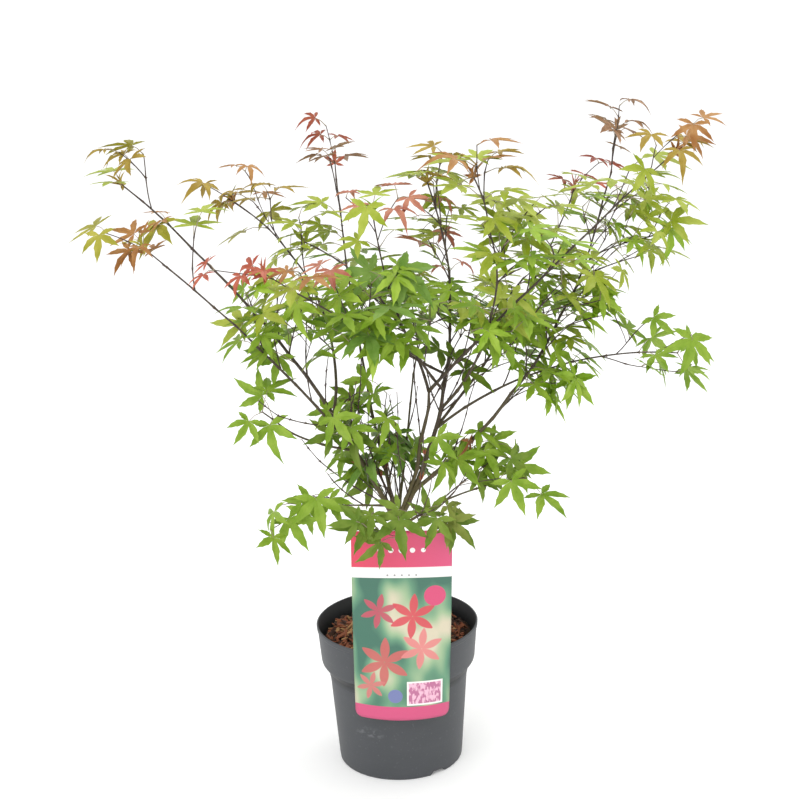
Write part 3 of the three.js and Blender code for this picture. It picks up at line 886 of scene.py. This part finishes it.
def facing(place):
    """The way a leaf at this place faces: flat at the crown's top, hanging at its foot and sides."""
    level = max(0, min(1, (place.z - crown_low) / (crown_high - crown_low)))
    outer = max(0, min(1, (abs(place.x) - 0.12) / 0.16))
    tilt = math.radians(6 + 62 * (1 - level) ** 1.3 + 10 * outer + growth.gauss(0, 18))
    outward = Vector((place.x, place.y, 0)).normalized()
    to_front = max(0, min(1, (0.10 - place.y) / 0.12)) * max(1 - level, outer * 0.8) * 0.9
    sideways = Vector((growth.gauss(0, 0.35), growth.gauss(0, 0.35), 0))
    lean_to = (outward * (1 - to_front) + Vector((0, -1, 0)) * to_front + sideways).normalized()
    return (UP * math.cos(tilt) + lean_to * math.sin(tilt)).normalized(), lean_to, math.sin(tilt)


def leaf(foot, direction, mass, tree, tint, scale=1.0):
    """Hangs one leaf on a stalk from a node, if there is room. Without a tree its mass isn't tested."""
    young = tint in YOUNG_TINTS
    size = growth.uniform(*(YOUNG_SIZE if young else OLD_SIZE)) * scale
    if tint == "blue":  # the oldest and largest
        size *= 1.2
    stalk = growth.uniform(*STALK_LENGTH) * (0.7 if young else 1.0)
    base = foot + direction * stalk
    normal, lean_to, steepness = facing(base)
    ahead = direction + (lean_to * 0.7 - UP * 0.5) * steepness
    ahead = (ahead - normal * ahead.dot(normal)).normalized()
    middle = base + ahead * size * MIDDLE_SHARE
    stray = STRAY_HIGH if middle.z > STRAY_FROM else STRAY_LOW
    if tree and depth_in(tree, middle) < -stray:
        return False
    aside = normal.cross(ahead)
    for end in (base + ahead * size, base + aside * size * ASIDE_SHARE, base - aside * size * ASIDE_SHARE):
        beyond = max(max(low - at, at - high) for at, low, high in zip(end, *cad_bounds))
        if beyond > PAST_BOX:
            return False
    if leaf_middles:
        gaps = np.array(leaf_middles) - np.array(middle)
        lift = gaps @ np.array(normal)
        flat = np.sqrt(np.maximum(0, (gaps**2).sum(1) - lift**2))
        # Leaves stand further apart in the emptier masses.
        if (np.hypot(flat, lift * 2.2) < size * max(0.5, 1.0 - 0.40 * MASSES[mass][1])).any():
            return False
    leaf_middles.append(tuple(middle))
    shapes = YOUNG_LEAVES if young else OLD_LEAVES[:3] if normal.z > 0.8 else OLD_LEAVES
    blade_at(base, ahead, normal, size, growth.choice(shapes), tint)
    dealt[mass].append(tint)
    bend = foot + direction * stalk * 0.55 + UP * stalk * 0.10
    stalk_paths.append([
        (foot, STALK_RADIUS * 1.5),
        (foot.lerp(bend, 0.45), STALK_RADIUS),
        (bend, STALK_RADIUS * 0.9),
        (base, STALK_RADIUS * 0.9),
        (base + ahead * size * 0.05, STALK_RADIUS * 0.5),
    ])
    return True


def tint_at(tints, place, low, high):
    """The tint of a spray: the first of its mass's tints at the top, and the last at the foot."""
    fall = (high.z - place.z) / (high.z - low.z) + growth.gauss(0, 0.16)
    return tints[int(max(0, min(0.999, fall)) * len(tints))]


def leaf_pair(node, turn, mass, tree, tint, scale=1.0):
    """Two leaves from opposite sides of a node. The pair is turned about the stem by an angle."""
    point, heading, _ = node
    level = heading.cross(UP)
    level = (level if level.length > 0.1 else Vector((1, 0, 0))).normalized()
    side = Matrix.Rotation(turn, 3, heading) @ level
    hung = 0
    for way in (side, -side):
        direction = (heading * growth.uniform(0.35, 0.8) + way + UP * growth.uniform(-0.1, 0.3)).normalized()
        hung += leaf(point, direction, mass, tree, tint, scale)
    if not hung:
        bare_nodes.append((*node, side))
    return hung


def shoot_to(target, length):
    """The path of a new shoot that ends at a target, from the place on the plant that suits it."""
    places = np.array([place[0] for place in skeleton])
    headings = np.array([place[1] for place in skeleton])
    offsets = np.array(target) - places
    distance = np.linalg.norm(offsets, axis=1) + 1e-6
    turn = (offsets * headings).sum(1) / distance
    fall = np.maximum(0, 0.25 - offsets[:, 2] / distance)
    cost = np.abs(distance - length) + 0.07 * np.abs(turn - 0.78) + 0.10 * fall
    for other in shoot_starts:
        cost += 0.015 * (np.linalg.norm(places - other, axis=1) < 0.011)
    start, heading, radius = skeleton[int(cost.argmin())]
    shoot_starts.append(np.array(start))
    reach = (target - start).length
    aim = (target - start).normalized()
    leave = (heading * 0.3 + aim).normalized()
    flatten = Vector((aim.x, aim.y, aim.z * 0.5 + 0.1)).normalized()
    middles = geometry.interpolate_bezier(
        start, start + leave * reach * 0.35, target - flatten * reach * 0.3, target, 16
    )
    base_radius = min(radius * 0.7, 0.0006 + reach * 0.004)
    return middles, list(np.linspace(base_radius, 0.00055, 16))


for name, (tints, fullness) in MASSES.items():
    solid = frame["nodes"][f"{name}_leaves"]
    shell = bmesh.new()
    shell.from_mesh(solid.data)
    bmesh.ops.remove_doubles(shell, verts=shell.verts, dist=1e-5)
    bmesh.ops.recalc_face_normals(shell, faces=shell.faces)
    tree = BVHTree.FromBMesh(shell)
    wanted = max(3, round(abs(shell.calc_volume()) / VOLUME_PER_LEAF * fullness))
    low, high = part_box(f"{name}_leaves")
    shell.free()
    tints = tints.split()
    hung = 0
    # The limbs that run into the mass carry leaves first, and end in a pair.
    for nodes in limb_nodes.values():
        within = [node for node in nodes if depth_in(tree, node[0]) > -NODE_STRAY]
        for index, node in enumerate(within):
            tint = tint_at(tints, node[0], low, high)
            hung += leaf_pair(node, index * NODE_TURN + growth.gauss(0, 0.3), name, tree, tint)
    tips = []
    for _ in range(SHOOTS_TRIED):
        if hung >= wanted:
            break
        trials = [Vector([growth.uniform(low[i], high[i]) for i in range(3)]) for _ in range(PLACES_TRIED)]
        trials = [trial for trial in trials if depth_in(tree, trial) > -NODE_STRAY] or [(low + high) / 2]
        places = np.array([place[0] for place in skeleton])
        away = [np.linalg.norm(places - np.array(trial), axis=1).min() for trial in trials]
        trials = [trial for trial, gap in zip(trials, away) if gap < max(SHOOT_REACH, min(away) + 0.005)]
        target = max(trials, key=lambda trial: min([(trial - tip).length for tip in tips] or [trial.length]))
        tips.append(target)
        middles, radii = shoot_to(target, growth.choice(SHOOT_LENGTHS))
        path, nodes = walk(middles, radii, SHOOT_SPACING, UNEVENNESS)
        tint = tint_at(tints, target, low, high)
        # A shoot with no room for leaves at its end isn't grown.
        grown = leaf_pair(tip_of(path), growth.uniform(-0.4, 0.4), name, tree, tint, 0.95)
        if not grown:
            bare_nodes.pop()
            continue
        for index, node in enumerate(reversed(nodes)):
            if depth_in(tree, node[0]) > -SHOOT_NODE_STRAY:
                grown += leaf_pair(node, index * NODE_TURN + growth.gauss(0, 0.35), name, tree, tint)
        hung += grown
        shoot_paths.append(path)
        for (point, radius), (ahead, _) in zip(path[2::3], path[3::3]):
            skeleton.append((point, (ahead - point).normalized(), radius))

# High on the plant the limbs also carry pairs between the masses, tested against none of them.
# Lower down they are bare.
HIGH, HIGH_PAIR_CHANCE, HIGH_PAIR_SCALE = 0.50, 0.3, 0.85
middles_of = {name: sum(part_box(f"{name}_leaves"), Vector()) / 2 for name in MASSES}
claimed = {tuple(node[0]) for node in bare_nodes}
for nodes in limb_nodes.values():
    for index, node in enumerate(nodes):
        nearest = min(MASSES, key=lambda name: (middles_of[name] - node[0]).length)
        turn = index * NODE_TURN + growth.gauss(0, 0.3)
        if node[0].z > HIGH and growth.random() < HIGH_PAIR_CHANCE:
            leaf_pair(node, turn, nearest, None, MASSES[nearest][0].split()[-1], HIGH_PAIR_SCALE)
        elif tuple(node[0]) not in claimed:
            bare_nodes.append((*node, beside(node[1], turn)))

# The tips of the high boughs end in two small leaves that have only half unfolded and stand up.
TIPS_FROM, TIP_LEAF = 0.56, (0.017, 0.024)
for nodes in limb_nodes.values():
    point, heading, _ = nodes[-1]
    if point.z > TIPS_FROM:
        nearest = min(MASSES, key=lambda name: (middles_of[name] - point).length)
        side = beside(heading, growth.uniform(0, math.tau))
        for way in (side, -side):
            ahead = (heading + UP * 0.5 + way * growth.uniform(0.25, 0.55)).normalized()
            normal = (ahead * way.dot(ahead) - way).normalized()
            shape = growth.choice(YOUNG_LEAVES)
            blade_at(point, ahead, normal, growth.uniform(*TIP_LEAF), shape, MASSES[nearest][0].split()[0])

# One dry leaf of last year's hangs by its stalk beside the stems on the right.
DRY_LEAF_PLACE, DRY_LEAF_SIZE = Vector((0.085, -0.03, 0.415)), 0.028
dry_node = min(
    (node for nodes in limb_nodes.values() for node in nodes),
    key=lambda node: (node[0] - DRY_LEAF_PLACE).length,
)
dry_base = dry_node[0] + Vector((-0.004, -0.012, 0.004))
stalk_paths.append([(dry_node[0], STALK_RADIUS * 1.5), (dry_base, STALK_RADIUS * 0.9)])
dry_ahead, dry_normal = Vector((0.08, 0, -0.997)), Vector((0.87, -0.487, 0.07))
blade_at(dry_base, dry_ahead, dry_normal, DRY_LEAF_SIZE, YOUNG_LEAVES[1], "dry")

# Thin bare twigs stand among the stems, below the crown.
TWIGS_FROM, TWIGS_TO, TWIGS_ASIDE, TWIG_COUNT = 0.31, 0.45, 0.075, 34
TWIG_LENGTH, TWIG_RADII = (0.03, 0.12), (0.0009, 0.00045)
TWIG_SPACING, TWIG_UNEVENNESS, TWIG_STEPS = 0.019, 0.0006, 12
low_nodes = [
    node
    for nodes in limb_nodes.values()
    for node in nodes
    if TWIGS_FROM < node[0].z < TWIGS_TO and abs(node[0].x) < TWIGS_ASIDE
]
for _ in range(TWIG_COUNT):
    start, heading, radius = growth.choice(low_nodes)
    side = beside(heading, growth.uniform(0, math.tau))
    way = (heading + side * growth.uniform(0.4, 1.3) + UP * 0.3).normalized()
    length = growth.uniform(*TWIG_LENGTH)
    finish_at = start + way * length + UP * length * 0.25
    middles = geometry.interpolate_bezier(
        start, start + way * length * 0.3, start + way * length * 0.7, finish_at, TWIG_STEPS
    )
    radii = list(np.linspace(min(radius * 0.6, TWIG_RADII[0]), TWIG_RADII[1], TWIG_STEPS))
    path, nodes = walk(middles, radii, TWIG_SPACING, TWIG_UNEVENNESS)
    shoot_paths.append(path)
    bare_nodes += [(*node, side) for node in [*nodes, tip_of(path)]]

# Where a node has no leaves it has a pair of small pointed buds, and here and there a tuft of the
# dry red scales of an opened one.
BUD_LENGTH, BUD_RADIUS = 0.0022, 0.0005
TUFTS, TUFTS_BELOW, SCALES, SCALE_TURN = 7, 0.46, 5, 1.26
bud = bmesh.new()
bmesh.ops.create_uvsphere(bud, u_segments=6, v_segments=4, radius=1)
for corner in bud.verts:
    corner.co.z = (corner.co.z + 1) * BUD_LENGTH / 2
    pointed = 1 - 0.5 * corner.co.z / BUD_LENGTH
    corner.co.x *= BUD_RADIUS * pointed
    corner.co.y *= BUD_RADIUS * pointed
smooth_faces(bud)
bud_shape = as_mesh("bud", bud)
buds, scales = bmesh.new(), bmesh.new()
for point, heading, radius, side in bare_nodes:
    for way in (side, -side):
        aim = (heading * 1.4 + way).normalized().to_track_quat("Z", "X").to_matrix().to_4x4()
        join(buds, bud_shape, Matrix.Translation(point + way * radius * 0.7) @ aim)
low_bare_nodes = [node for node in bare_nodes if node[0].z < TUFTS_BELOW]
for point, heading, radius, side in growth.sample(low_bare_nodes, TUFTS):
    for spoke in range(SCALES):
        way = Matrix.Rotation(spoke * SCALE_TURN, 3, heading) @ side
        aim = (heading * 1.6 + way * 0.8).normalized().to_track_quat("Z", "X").to_matrix().to_4x4()
        size = Matrix.Diagonal((2.8, 1.3, growth.uniform(2.5, 6), 1))
        join(scales, bud_shape, Matrix.Translation(point + way * radius * 0.6) @ aim @ size)
piece("buds", buds, mottled("bud", 0.5, 200, 2, 0x5A2A2E, 0x7A3A34), "bark")
piece("bud_scales", scales, mottled("dry bud scale", 0.7, 200, 2, 0x80402C, 0xA8603E), "bark")

shoot_bark = bark("shoot bark", 0x4A3C34, 0x35222A, 0.30, 0.46)
piece("shoots", tubes(shoot_paths, SHOOT_SIDES), shoot_bark, "bark")

stalk_skin = mottled("leaf stalk skin", 0.55, 30, 2, 0x8F7A78, 0x9C9468)
piece("leaf_stalks", tubes(stalk_paths, STALK_SIDES), stalk_skin, "leaves")

for tint, (dark_code, light_code) in TINTS.items():
    blade = Finish(f"{tint} leaf", Roughness=0.5, **{"Specular IOR Level": 0.25})
    blade.paint(blade.mix(blade.mottle(45, 3).over(0.64, 0.28), colour(dark_code), colour(light_code)))
    stands_for = [
        f"{name}_leaves" for name, given in dealt.items() if max(sorted(set(given)), key=given.count) == tint
    ]
    slot = "young_leaves" if tint in YOUNG_TINTS else "leaves"
    piece(f"leaves_{tint}", foliage[tint], blade, slot, *stands_for)

size = {"cad": [list(c) for c in cad_bounds], "visual": [list(c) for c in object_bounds()]}
